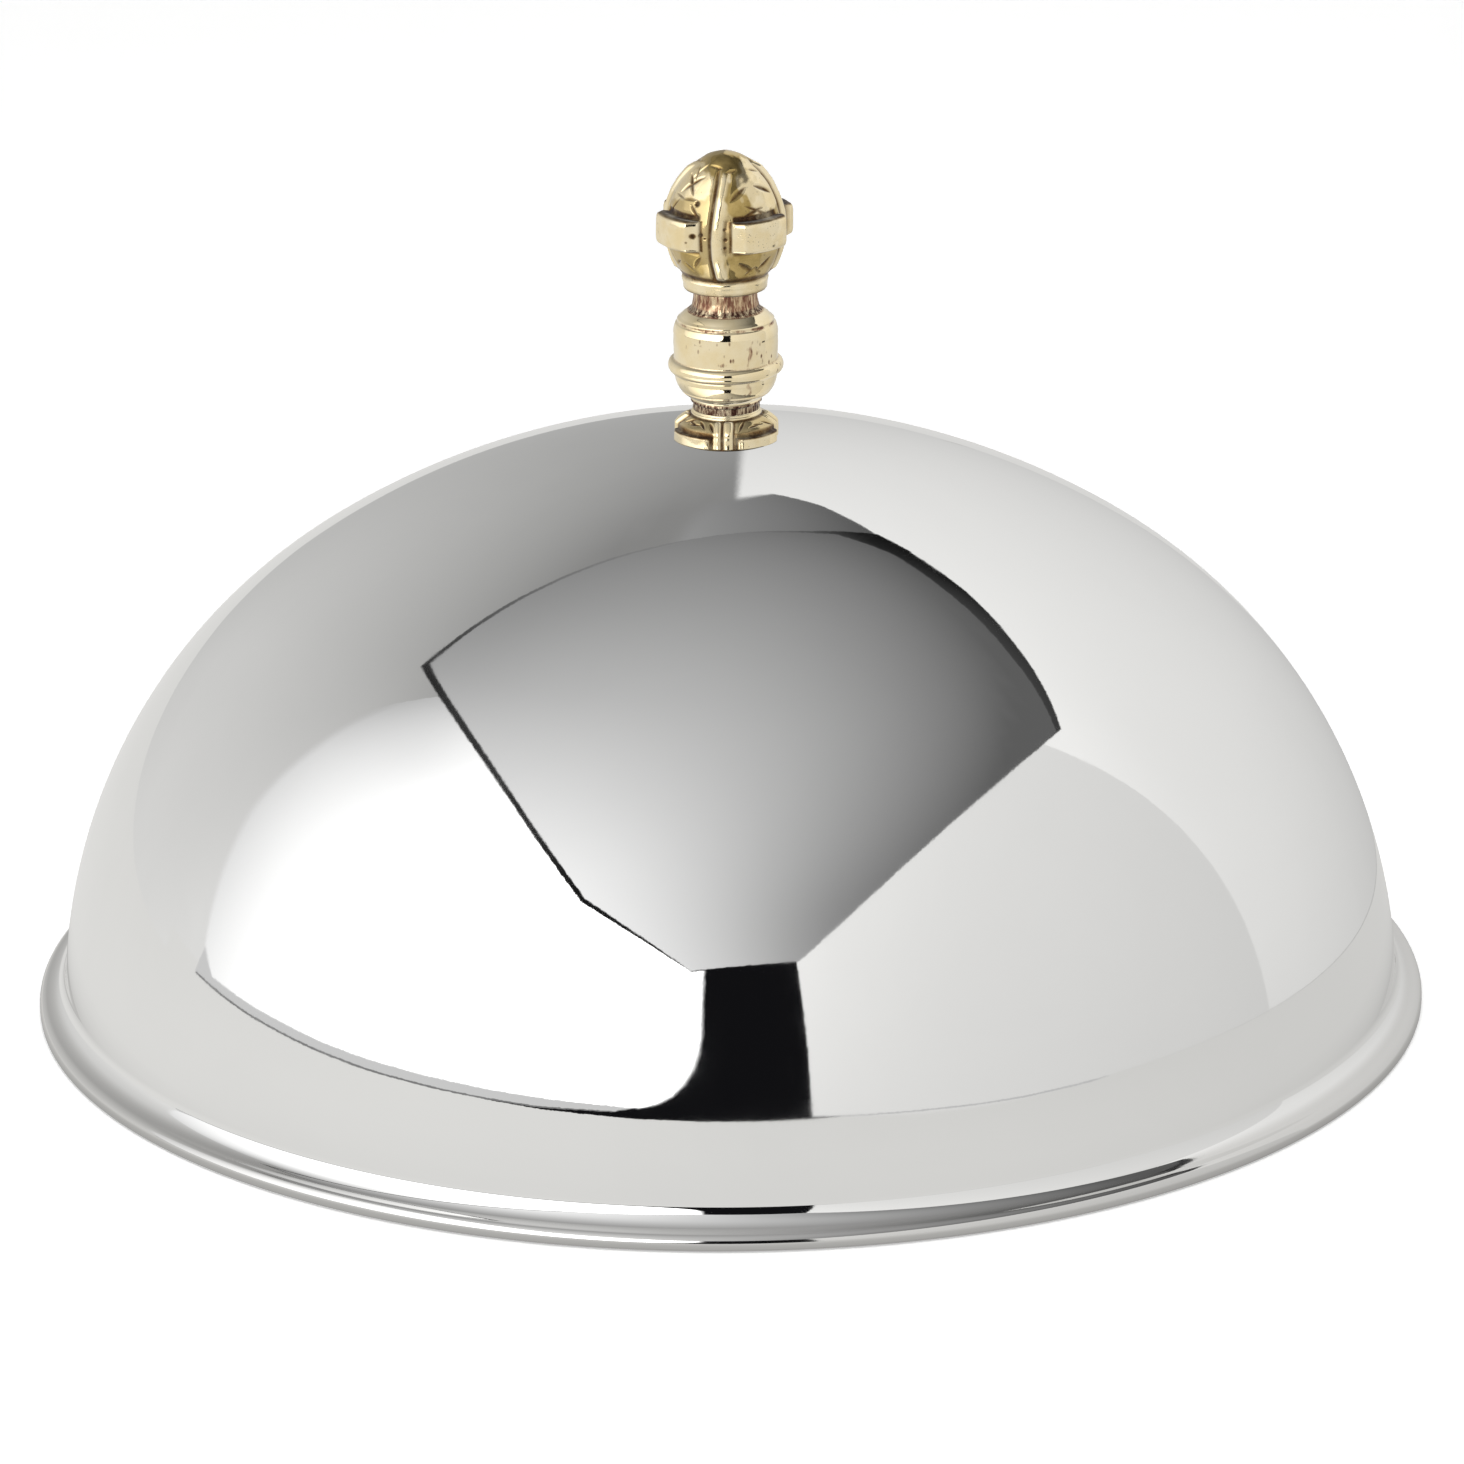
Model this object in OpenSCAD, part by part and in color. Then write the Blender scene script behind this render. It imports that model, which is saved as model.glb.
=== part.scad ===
// Domed food cover: one spun sheet dome with a turned-down rim, and a brass finial
// in three pieces that one stud clamps through a hole in the crown.
// Millimetres, +Z up, -Y to the front. The origin is the centre of the rim's cut edge,
// on the table that the cover stands on.

/* [Dome] */
// Outside diameter of the rim
rim_d = 300; // [292:1:312]
// Height of the crown above the rim's cut edge, outside
dome_h = 124; // [112:1:134]
// Outside radius of the flatter crown
crown_r = 168; // [156:1:190]
// Distance that the rim stands out past the wall
flange_w = 5.6; // [5.6:0.1:8]
// Thickness of the sheet
sheet_t = 0.8; // [0.6:0.1:1.2]
// Radius of the hollow between the wall and the rim
cove_r = 3.6; // [2:0.1:3.6]
// Outside radius of the bend that turns the rim down
bend_r = 2; // [1.5:0.1:2]
// Height of the straight skirt below the bend
skirt_h = 1.3; // [0.8:0.1:3]

/* [Finial foot] */
// Radius of the foot's leafed body
foot_r = 10.6; // [10:0.1:11.5]
// Height of the foot, from the crown to its top face
foot_h = 6.5; // [6:0.1:8]
// Outside radius of the belts along the foot's edge
foot_belt_r = 11.6; // [11.2:0.1:12.5]
// Turn of the foot's front rib away from -Y
foot_turn = -3; // [-45:1:45]

/* [Finial barrel] */
// Radius of the barrel
barrel_r = 11.1; // [10:0.1:12]
// Height of the barrel's swelling
barrel_h = 19.8; // [16:0.1:21]
// Radius of the necks below and above the barrel
neck_r = 7.1; // [6:0.1:8]
// Height of the neck below the barrel
low_neck_h = 2.4; // [1:0.1:4]
// Height of the neck above the barrel
top_neck_h = 4.3; // [2:0.1:6]
// Radius of the bead round the barrel
bead_r = 1.2; // [0.8:0.1:1.6]

/* [Finial head] */
// Largest radius of the egg-shaped head
head_r = 12.2; // [11:0.1:13.5]
// Height of the head, with its collar
head_h = 29.5; // [27:0.1:32]
// Radius of the nose at the head's top
nose_r = 8; // [6:0.1:9]
// Height of the head's widest ring above its bottom face
head_waist = 13.5; // [12:0.1:15]
// Radius of the collar under the head
collar_r = 9.1; // [8.5:0.1:9.5]
// Height of the collar
collar_h = 3.4; // [2.5:0.1:4]
// Outside radius of the belts round the head
belt_r = 14.8; // [13.5:0.1:16]
// Height of the belts round the head
belt_h = 7; // [5:0.1:9]
// Gap between two belts, at a rib
belt_gap = 7; // [5:0.1:9]
// Turn of the head's front rib away from -Y
head_turn = -8; // [-45:1:45]

/* [Fixings] */
// Diameter of the stud's thread
stud_d = 5; // [4:1:5]
// Length of the stud
stud_len = 55; // [52:1:57]
// Diameter of the clearance holes that the stud passes through
clear_d = 5.4; // [5.2:0.1:6]
// Outside diameter of the backing washer inside the crown
washer_d = 20; // [15:1:25]
// Thickness of the backing washer at its middle
washer_t = 1.2; // [1:0.1:2]
// Outside diameter of the split lock washer
lock_d = 9.2; // [8:0.1:10]
// Thickness of the lock washer, clamped flat
lock_t = 1.2; // [1:0.1:1.6]
// Width of the cap nut across its flats
nut_af = 8; // [8:1:10]
// Height of the cap nut
nut_h = 10; // [9:0.1:12]

/* [Hidden] */

// Facets of the dome and of the small turned pieces, both drawn as true circles
dome_fn = 180;
small_fn = 72;
// Overlap of a cutting shape past the face that it cuts
cut = 1;

stainless = [0.80, 0.81, 0.82];
polished_brass = [0.83, 0.66, 0.30];
turned_brass = [0.78, 0.60, 0.26];
zinc = [0.70, 0.72, 0.74];

// Dome: a crown arc and a side arc that meet in one tangent, the side arc
// standing upright where it reaches the table plane
rim_r = rim_d / 2;
wall_r = rim_r - flange_w;
centre_gap = (pow(crown_r - dome_h, 2) + pow(crown_r - wall_r, 2)) / (2 * (crown_r - wall_r));
side_r = crown_r - centre_gap;
side_x = wall_r - side_r;
crown_z = dome_h - crown_r;
crown_angle = atan2(side_x, -crown_z);

// Rim: a hollow tangent to the side arc, a short flat, a bend and the skirt
bend_x = rim_r - bend_r;
flat_z = skirt_h + bend_r;
cove_z = flat_z + cove_r;
cove_x = side_x + sqrt(pow(side_r + cove_r, 2) - pow(cove_z, 2));
cove_angle = atan2(cove_z, cove_x - side_x);

// Heights of the finial's faces, and of the fixings inside the crown
foot_z = dome_h;
barrel_z = foot_z + foot_h;
head_z = barrel_z + low_neck_h + barrel_h + top_neck_h;
washer_z = dome_h - sheet_t - washer_t;
lock_z = washer_z - lock_t;
nut_z = lock_z - nut_h;
stud_z = lock_z - 6.5;
head_hole = 13;

// Foot: the top ring, the belts and the ribs of its edge
foot_ring_r = 7.4;
foot_ring_h = 1.1;
foot_lobe_r = 7.8;
foot_belt_low = 0.2;
foot_belt_h = 2.6;
foot_belt_gap = 5.3;
foot_belt_w = 1.8;

// Barrel: roundings of its two ends
barrel_round = 5.5;
barrel_low_z = low_neck_h;
bead_z = low_neck_h + 7.3;

// Head: the side arc that is tangent to the nose and upright at the waist
nose_rise = head_h - nose_r - head_waist;
head_arc = (pow(head_r, 2) + pow(nose_rise, 2) - pow(nose_r, 2)) / (2 * (head_r - nose_r));
rib_w = 1.8;
rib_stand = 0.7;
belt_depth = 3.6;
belt_chamfer = 0.7;

// Cap nut: the hexagon, the round end and the blind hole
nut_hex_h = 4;
nut_round_r = 3.75;
nut_hole = 7.5;
lock_split = 0.8;
lock_split_tilt = 20;

// Half section of everything inside the sheet's outer face, or inside a face that is
// set in from it by the given amount
module filled_section(inset) {
    crown_reach = 2 * crown_r;
    hollow_r = cove_r + inset;
    hollow_top = cove_z - hollow_r * sin(cove_angle);
    intersection() {
        translate([0, crown_z]) circle(r = crown_r - inset, $fn = dome_fn);
        polygon([
            [0, crown_z],
            [0, crown_z + crown_reach],
            [crown_reach * tan(crown_angle), crown_z + crown_reach]
        ]);
    }
    intersection() {
        translate([side_x, 0]) circle(r = side_r - inset, $fn = dome_fn);
        square([wall_r, dome_h]);
    }
    difference() {
        translate([side_x, -cut]) square([cove_x - side_x, hollow_top + cut]);
        translate([cove_x, cove_z]) circle(r = hollow_r, $fn = small_fn);
    }
    translate([0, -cut]) square([bend_x, flat_z - inset + cut]);
    translate([bend_x, skirt_h]) circle(r = bend_r - inset, $fn = small_fn);
    translate([0, -cut]) square([rim_r - inset, skirt_h + cut]);
}

// Half section of the sheet, with the hole in the crown
module shell_section() {
    difference() {
        intersection() {
            filled_section(0);
            translate([clear_d / 2, 0]) square([rim_r, dome_h + cut]);
        }
        filled_section(sheet_t);
    }
}

// The ball that the outside of the crown is part of
module crown_ball() {
    translate([0, 0, crown_z]) sphere(r = crown_r, $fn = dome_fn);
}

// The hole that the stud passes through, from one height to another
module stud_hole(d, low, high) {
    translate([0, 0, low]) cylinder(d = d, h = high - low, $fn = small_fn);
}

module dome_shell() {
    color(stainless) rotate_extrude($fn = dome_fn) shell_section();
}

// Plan of the foot: four leaves that meet at the ribs
module four_lobes(r, lobe) {
    for (a = [45:90:315])
        rotate(a) translate([r - lobe, 0]) circle(r = lobe, $fn = small_fn);
}

// Half section of the foot: a low dome under a flat ring
module foot_section() {
    slope_r = 9;
    intersection() {
        translate([foot_r - slope_r, -3]) circle(r = slope_r, $fn = small_fn);
        translate([0, -cut]) square([foot_r, foot_h + cut]);
    }
    translate([0, -cut]) square([foot_r - slope_r, foot_h]);
    square([foot_ring_r, foot_h]);
}

// Two slabs that cross on the axis, one along each pair of ribs
module rib_cross(w, reach, low, high) {
    for (a = [0, 90])
        rotate(a) translate([-w / 2, -reach, low]) cube([w, 2 * reach, high - low]);
}

// Four belts: a chamfered ring, cut through at each rib
module belts(r, depth, low, h, chamfer, gap) {
    difference() {
        rotate_extrude($fn = small_fn)
            polygon([
                [r - depth, low],
                [r - chamfer, low],
                [r, low + chamfer],
                [r, low + h - chamfer],
                [r - chamfer, low + h],
                [r - depth, low + h]
            ]);
        rib_cross(gap, r + cut, low - cut, low + h + cut);
    }
}

module finial_foot() {
    color(polished_brass) difference() {
        translate([0, 0, foot_z]) rotate(foot_turn) {
            intersection() {
                rotate_extrude($fn = small_fn) foot_section();
                translate([0, 0, -cut]) linear_extrude(foot_h + cut)
                    four_lobes(foot_r + 0.6, foot_lobe_r);
            }
            translate([0, 0, foot_h - foot_ring_h])
                cylinder(r = foot_ring_r, h = foot_ring_h, $fn = small_fn);
            belts(foot_belt_r, foot_belt_w, foot_belt_low, foot_belt_h, 0.4, foot_belt_gap);
            intersection() {
                translate([0, 0, -cut])
                    cylinder(r = foot_r + 0.2, h = foot_belt_h + 2 * cut, $fn = small_fn);
                rib_cross(rib_w, foot_r + cut, -cut, foot_h - foot_ring_h);
            }
        }
        crown_ball();
        stud_hole(clear_d, dome_h - cut, barrel_z + cut);
    }
}

// Half section of the barrel with its two necks and its bead
module barrel_section() {
    low = barrel_low_z + barrel_round;
    high = barrel_low_z + barrel_h - barrel_round;
    round_x = barrel_r - barrel_round;
    square([neck_r, low_neck_h + barrel_h + top_neck_h]);
    translate([0, barrel_low_z]) square([round_x, barrel_h]);
    translate([0, low]) square([barrel_r, high - low]);
    translate([round_x, low]) circle(r = barrel_round, $fn = small_fn);
    translate([round_x, high]) circle(r = barrel_round, $fn = small_fn);
    translate([barrel_r, bead_z]) circle(r = bead_r, $fn = small_fn);
}

module finial_barrel() {
    color(turned_brass) difference() {
        translate([0, 0, barrel_z]) rotate_extrude($fn = small_fn) barrel_section();
        stud_hole(clear_d, barrel_z - cut, head_z + cut);
    }
}

// Half section of the egg, grown outward by the given amount
module egg_section(grow) {
    nose_z = head_waist + nose_rise;
    join = atan2(nose_rise, head_arc - head_r);
    intersection() {
        translate([head_r - head_arc, head_waist])
            circle(r = head_arc + grow, $fn = dome_fn);
        square([head_r + grow, head_waist + head_arc * sin(join)]);
    }
    intersection() {
        translate([0, nose_z]) circle(r = nose_r + grow, $fn = small_fn);
        translate([0, nose_z]) square([head_r + grow, nose_r + grow]);
    }
}

module finial_head() {
    belt_z = head_waist + 0.3 - belt_h / 2 + 0.2;
    color(polished_brass) difference() {
        translate([0, 0, head_z]) rotate(head_turn) {
            rotate_extrude($fn = small_fn) egg_section(0);
            cylinder(r = collar_r, h = collar_h, $fn = small_fn);
            belts(belt_r, belt_depth, belt_z, belt_h, belt_chamfer, belt_gap);
            intersection() {
                rotate_extrude($fn = small_fn) egg_section(rib_stand);
                rib_cross(rib_w, head_r + rib_stand + cut, collar_h, head_h - 1);
            }
        }
        stud_hole(stud_d, head_z - cut, head_z + head_hole);
    }
}

module stud() {
    color(zinc) translate([0, 0, stud_z]) cylinder(d = stud_d, h = stud_len, $fn = small_fn);
}

// The washer's top face is dished to bear all over on the inside of the crown
module backing_washer() {
    color(zinc) rotate_extrude($fn = dome_fn) intersection() {
        translate([clear_d / 2, washer_z]) square([(washer_d - clear_d) / 2, washer_t + cut]);
        translate([0, crown_z]) circle(r = crown_r - sheet_t, $fn = 4 * dome_fn);
    }
}

module lock_washer() {
    color(zinc) difference() {
        translate([0, 0, lock_z]) cylinder(d = lock_d, h = lock_t, $fn = small_fn);
        stud_hole(clear_d, lock_z - cut, washer_z + cut);
        translate([lock_d / 4, 0, lock_z + lock_t / 2]) rotate([lock_split_tilt, 0, 0])
            cube([lock_d / 2 + cut, lock_split, 3 * lock_t], center = true);
    }
}

// The cap nut hangs with its round end down, the hexagon against the lock washer
module cap_nut() {
    color(zinc) difference() {
        union() {
            translate([0, 0, lock_z - nut_hex_h])
                cylinder(d = nut_af / cos(30), h = nut_hex_h, $fn = 6);
            translate([0, 0, nut_z + nut_round_r])
                cylinder(r = nut_round_r, h = nut_h - nut_round_r - cut, $fn = small_fn);
            translate([0, 0, nut_z + nut_round_r]) sphere(r = nut_round_r, $fn = small_fn);
        }
        stud_hole(stud_d, lock_z - nut_hole, lock_z + cut);
    }
}

dome_shell();
finial_foot();
finial_barrel();
finial_head();
stud();
backing_washer();
lock_washer();
cap_nut();
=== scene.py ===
"""A polished steel food cover with a cast brass finial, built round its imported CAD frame.

Metres throughout, in the CAD frame: +Z up, -Y to the front, the table at z = 0.
Profiles are written in millimetres from each piece's own base and scaled by MM.
"""

import math

import bpy
import numpy as np
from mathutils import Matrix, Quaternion, Vector


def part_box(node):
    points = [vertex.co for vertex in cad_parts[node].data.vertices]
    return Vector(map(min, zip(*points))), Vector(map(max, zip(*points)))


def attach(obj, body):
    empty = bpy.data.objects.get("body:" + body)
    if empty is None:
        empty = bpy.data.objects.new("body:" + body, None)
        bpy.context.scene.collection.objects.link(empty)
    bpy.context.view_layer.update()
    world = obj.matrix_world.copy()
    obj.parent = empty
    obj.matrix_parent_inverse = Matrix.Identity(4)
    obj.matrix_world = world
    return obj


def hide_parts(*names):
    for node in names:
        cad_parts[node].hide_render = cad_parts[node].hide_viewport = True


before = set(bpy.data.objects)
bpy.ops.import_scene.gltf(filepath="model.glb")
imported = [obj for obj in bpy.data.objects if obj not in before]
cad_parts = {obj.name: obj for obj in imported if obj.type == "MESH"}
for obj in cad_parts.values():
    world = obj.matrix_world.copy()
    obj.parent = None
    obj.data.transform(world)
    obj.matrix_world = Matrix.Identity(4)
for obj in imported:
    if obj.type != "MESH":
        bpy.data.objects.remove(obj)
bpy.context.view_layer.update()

MM = 0.001
TURN = 2 * math.pi


# ---------------------------------------------------------------- profiles and meshes

def arc(centre_r, centre_z, radius, start, end, steps):
    """Points of an arc in the (radius, height) plane, angles in degrees from the radius axis."""
    angles = np.radians(np.linspace(start, end, steps))
    return [(centre_r + radius * math.cos(a), centre_z + radius * math.sin(a)) for a in angles]


def line(start, end, steps):
    """Points from start towards end, without either end point."""
    shares = np.linspace(0, 1, steps + 2)[1:-1]
    return [(start[0] + s * (end[0] - start[0]), start[1] + s * (end[1] - start[1])) for s in shares]


def smooth(x):
    """0 below 0, 1 above 1, with a smooth step between."""
    x = np.clip(x, 0, 1)
    return x * x * (3 - 2 * x)


def bell(x, width, power=2):
    """A smooth hump: 1 at x = 0, and near 0 beyond about twice the width."""
    return np.exp(-np.abs(x / width) ** power)


def soft_noise(points, size, waves, seed):
    """Gentle bumps about as wide as size, between -1 and 1, from a few crossed sine waves."""
    draw = np.random.default_rng(seed)
    total = np.zeros(points.shape[:-1])
    for _ in range(waves):
        direction = draw.normal(size=3)
        direction *= TURN / (size * draw.uniform(0.7, 1.6)) / np.linalg.norm(direction)
        total += np.sin(points @ direction + draw.uniform(0, TURN))
    return total / math.sqrt(waves)


def lathe_points(profile, columns):
    """The profile's points turned round the axis: an array of rows, columns and x, y, z."""
    profile = np.array(profile, float)
    angles = np.arange(columns) * TURN / columns
    r, z = profile[:, :1], profile[:, 1:]
    return np.stack([r * np.cos(angles), r * np.sin(angles), z + 0 * angles], axis=-1)


def add_object(name, data):
    thing = bpy.data.objects.new(name, data)
    bpy.context.scene.collection.objects.link(thing)
    return thing


def add_values(mesh, values):
    """Stores named brightness or wear values, one for each point of the mesh."""
    for key, array in values.items():
        attribute = mesh.attributes.new(key, "FLOAT", "POINT")
        attribute.data.foreach_set("value", np.asarray(array, np.float32).ravel())


def lathe_mesh(name, points, ring, materials, material_rows=None, values=None):
    """A closed mesh from rows of points. A ring's last row joins its first; any other
    profile starts and ends on the axis, where its first and last rows become one point."""
    rows, columns = points.shape[:2]
    if ring:
        vertices = points.reshape(-1, 3)
        index = np.arange(rows * columns).reshape(rows, columns)
        index = np.vstack([index, index[:1]])
    else:
        middle = points[1:-1].reshape(-1, 3)
        vertices = np.vstack([points[0, :1], middle, points[-1, :1]])
        index = 1 + np.arange((rows - 2) * columns).reshape(rows - 2, columns)
    beside = np.roll(index, -1, axis=1)
    quads = np.stack([index[:-1], beside[:-1], beside[1:], index[1:]], axis=-1).reshape(-1, 4)
    faces = [tuple(q) for q in quads.tolist()]
    if not ring:
        last = len(vertices) - 1
        faces += [(0, b, a) for a, b in zip(index[0].tolist(), beside[0].tolist())]
        faces += [(last, a, b) for a, b in zip(index[-1].tolist(), beside[-1].tolist())]
    mesh = bpy.data.meshes.new(name)
    mesh.from_pydata(vertices.tolist(), [], faces)
    mesh.polygons.foreach_set("use_smooth", [True] * len(mesh.polygons))
    if material_rows is not None:
        mesh.polygons.foreach_set("material_index", np.repeat(material_rows, columns))
    for key, array in (values or {}).items():
        if not ring:
            array = np.concatenate([array[0, :1], array[1:-1].ravel(), array[-1, :1]])
        add_values(mesh, {key: array})
    for material in materials:
        mesh.materials.append(material)
    mesh.validate()
    mesh.update()
    return add_object(name, mesh)


def settle(piece, node):
    """Puts a finished piece in the frame: it rides on the one body and stands for its node."""
    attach(piece, "root")
    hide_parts(node)


def settle_brass(name, points, bottom, ring, material, values, node):
    """Lifts a part of the finial from its own base to its place, and settles it. The dome in
    the photograph shows no reflection of the finial, so reflections leave it out."""
    points[..., 2] += bottom
    values = {key: np.clip(array, 0, 1) for key, array in values.items()}
    piece = lathe_mesh(name, points * MM, ring, [material], values=values)
    settle(piece, node)
    piece.visible_glossy = False


# ---------------------------------------------------------------- materials

class Nodes:
    """A material's node tree, with short calls for the nodes that this script uses."""

    def __init__(self, name):
        self.material = bpy.data.materials.new(name)
        self.material.use_nodes = True
        self.tree = self.material.node_tree
        self.shader = self.tree.nodes["Principled BSDF"]
        self.place = self.add("ShaderNodeTexCoord").outputs["Object"]

    def add(self, kind, inputs=None, **settings):
        node = self.tree.nodes.new(kind)
        for key, value in settings.items():
            setattr(node, key, value)
        for key, value in (inputs or {}).items():
            self.link(value, node.inputs[key])
        return node

    def link(self, source, target):
        """Joins a socket to an input, or sets the input to a plain number or vector."""
        if isinstance(source, bpy.types.NodeSocket):
            self.tree.links.new(source, target)
        else:
            target.default_value = source

    def stretched(self, scale):
        return self.add("ShaderNodeMapping", {"Vector": self.place, "Scale": scale}).outputs["Vector"]

    def height(self):
        return self.add("ShaderNodeSeparateXYZ", {0: self.place}).outputs["Z"]

    def noise(self, scale, detail=4.0, roughness=0.55, vector=None, distortion=0.0):
        inputs = {"Vector": vector or self.place, "Scale": scale, "Detail": detail,
                  "Roughness": roughness, "Distortion": distortion}
        return self.add("ShaderNodeTexNoise", inputs).outputs["Fac"]

    def cells(self, scale, vector=None):
        inputs = {"Vector": vector or self.place, "Scale": scale}
        return self.add("ShaderNodeTexVoronoi", inputs).outputs["Distance"]

    def attribute(self, name):
        return self.add("ShaderNodeAttribute", attribute_name=name).outputs["Fac"]

    def math(self, operation, a, b, clamp=False):
        node = self.add("ShaderNodeMath", {0: a, 1: b}, operation=operation, use_clamp=clamp)
        return node.outputs[0]

    def plus(self, a, b):
        return self.math("ADD", a, b)

    def times(self, a, b, clamp=False):
        return self.math("MULTIPLY", a, b, clamp)

    def spread(self, value, low, high, to_low=0.0, to_high=1.0):
        """Maps low..high to to_low..to_high, held at both ends."""
        inputs = {"Value": value, "From Min": low, "From Max": high, "To Min": to_low, "To Max": to_high}
        return self.add("ShaderNodeMapRange", inputs, interpolation_type="SMOOTHSTEP").outputs["Result"]

    def mix(self, share, a, b):
        node = self.add("ShaderNodeMix", {"Factor": share}, data_type="RGBA")
        for key, colour in (("A", a), ("B", b)):
            socket = [s for s in node.inputs if s.name == key and s.type == "RGBA"][0]
            self.link((*colour, 1.0) if isinstance(colour, tuple) else colour, socket)
        return [s for s in node.outputs if s.type == "RGBA"][0]

    def blend(self, value, low, high, a, b):
        """Colour a where the value is low, and b where it is high."""
        return self.mix(self.spread(value, low, high), a, b)

    def bump(self, height, distance, strength=1.0, normal=None):
        inputs = {"Strength": strength, "Distance": distance, "Height": height}
        if normal:
            inputs["Normal"] = normal
        return self.add("ShaderNodeBump", inputs).outputs["Normal"]

    def finish(self, colour, roughness, normal=None, metallic=1.0):
        self.shader.inputs["Metallic"].default_value = metallic
        for value, key in ((colour, "Base Color"), (roughness, "Roughness"), (normal, "Normal")):
            if value is not None:
                self.link((*value, 1.0) if isinstance(value, tuple) else value, self.shader.inputs[key])
        return self.material


def mirror_steel():
    """Buffed stainless steel: a mirror with wiping smears, a hint of spinning ripple, and a rim that is
    darker in tone and rougher."""
    n = Nodes("mirror_steel")
    smear = n.noise(14, 5, 0.6, distortion=0.6)
    haze = n.noise(55, 3, 0.5, n.stretched((1, 1, 3)))
    rough = n.plus(n.spread(smear, 0.35, 0.75, 0.012, 0.05), n.spread(haze, 0.5, 0.8, 0.0, 0.02))
    tone = n.blend(smear, 0.3, 0.8, (0.885, 0.885, 0.88), (0.862, 0.862, 0.858))
    above_rim = n.spread(n.height(), 0.0034, 0.0048)
    tone = n.mix(above_rim, (0.70, 0.695, 0.685), tone)
    rough = n.plus(rough, n.times(n.math("SUBTRACT", 1.0, above_rim), 0.035))
    ripple = n.bump(n.noise(38, 2, 0.4), 0.00004)
    peel = n.bump(n.noise(900, 2, 0.5), 0.0000012, normal=ripple)
    return n.finish(tone, rough, peel)


def satin_steel():
    """The inside of the cover: satin steel with the fine rings of the spinning lathe."""
    n = Nodes("satin_steel")
    rings = n.noise(1.0, 3, 0.7, n.stretched((2, 2, 1400)))
    cloud = n.noise(18, 4, 0.6)
    tone = n.blend(cloud, 0.3, 0.75, (0.74, 0.74, 0.735), (0.66, 0.66, 0.655))
    rough = n.plus(n.spread(cloud, 0.3, 0.8, 0.20, 0.30), n.spread(rings, 0.3, 0.8, 0.0, 0.08))
    return n.finish(tone, rough, n.bump(rings, 0.00001, 0.8))


PALE_BRASS = (1.0, 0.87, 0.60)


def cast_brass():
    """Cast brass: pale where buffed, olive on the leaves (both tones partly painted bright and dark
    reflection), brown and pitted in recesses, with painted contact shade at the foot's lower edge.
    """
    n = Nodes("cast_brass")
    recess = n.attribute("recess")
    buff_and_reflection = n.attribute("buff_and_reflection")
    cloud = n.noise(260, 4, 0.6)
    grain = n.noise(2600, 3, 0.6)
    deep = n.spread(recess, 0.45, 1.0)
    patina = n.times(n.spread(recess, 0.08, 0.6), n.spread(cloud, 0.25, 0.6, 0.6, 1.0), True)
    pit_field = n.spread(n.noise(330, 3, 0.6), 0.52, 0.66)
    pits = n.times(n.spread(n.cells(1500), 0.28, 0.12), pit_field)
    near = n.times(pits, n.plus(recess, 0.45), True)
    pale = n.blend(cloud, 0.3, 0.75, PALE_BRASS, (0.94, 0.77, 0.45))
    olive = n.blend(cloud, 0.3, 0.7, (0.58, 0.43, 0.17), (0.40, 0.285, 0.095))
    uneven = n.plus(buff_and_reflection, n.times(n.math("SUBTRACT", cloud, 0.5), 0.5))
    # painted reflection: the olive and pale mix stands partly for dark and bright reflections on the leaves
    clean = n.blend(uneven, 0.1, 0.85, olive, pale)
    brown = n.blend(grain, 0.35, 0.65, (0.22, 0.125, 0.045), (0.12, 0.065, 0.025))
    dark = n.blend(grain, 0.35, 0.65, (0.07, 0.036, 0.018), (0.035, 0.02, 0.012))
    tone = n.mix(patina, clean, n.mix(deep, brown, dark))
    tone = n.mix(near, tone, (0.10, 0.045, 0.03))
    rough = n.plus(n.spread(cloud, 0.3, 0.8, 0.10, 0.20), n.times(patina, 0.28))
    normal = n.bump(n.noise(700, 3, 0.5), 0.00002)
    normal = n.bump(n.times(near, -1.0), 0.00008, normal=normal)
    return n.finish(tone, rough, normal)


def turned_brass():
    """Turned and buffed brass with a few brown specks, and raw copper-brown necks that keep
    the tool's marks."""
    n = Nodes("turned_brass")
    recess = n.attribute("recess")
    cloud = n.noise(200, 4, 0.6)
    streak = n.noise(1.0, 3, 0.7, n.stretched((1500, 1500, 260)))
    rings = n.noise(1.0, 2, 0.6, n.stretched((30, 30, 5200)))
    raw = n.times(n.spread(recess, 0.05, 0.6), n.spread(streak, 0.32, 0.58, 0.35), True)
    deep = n.spread(recess, 0.7, 1.0)
    speck_field = n.spread(n.noise(150, 2, 0.5), 0.56, 0.68)
    specks = n.times(n.spread(n.cells(900, n.stretched((1, 1, 0.5))), 0.3, 0.12), speck_field)
    clean = n.blend(cloud, 0.3, 0.75, PALE_BRASS, (0.95, 0.79, 0.48))
    copper = n.blend(streak, 0.35, 0.65, (0.46, 0.25, 0.14), (0.20, 0.09, 0.06))
    dark = n.blend(streak, 0.35, 0.65, (0.15, 0.06, 0.04), (0.06, 0.025, 0.018))
    tone = n.mix(raw, clean, n.mix(deep, copper, dark))
    tone = n.mix(specks, tone, (0.20, 0.09, 0.05))
    rough = n.plus(n.spread(cloud, 0.3, 0.8, 0.05, 0.11), n.times(raw, 0.36))
    normal = n.bump(rings, 0.000002)
    normal = n.bump(n.times(n.times(streak, recess), 1.0), 0.00012, normal=normal)
    return n.finish(tone, rough, normal)


def plated_steel(name, colour, roughness):
    """Plated hardware: a dull sheen with fine pressing marks and a little discolouring."""
    n = Nodes(name)
    cloud = n.noise(420, 4, 0.6)
    grain = n.noise(3000, 3, 0.6)
    darker = tuple(0.82 * c for c in colour)
    tone = n.blend(cloud, 0.3, 0.75, colour, darker)
    rough = n.spread(cloud, 0.3, 0.8, roughness, roughness + 0.12)
    rough = n.plus(rough, n.spread(grain, 0.4, 0.8, 0.0, 0.06))
    return n.finish(tone, rough, n.bump(grain, 0.00001, 0.8))


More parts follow.
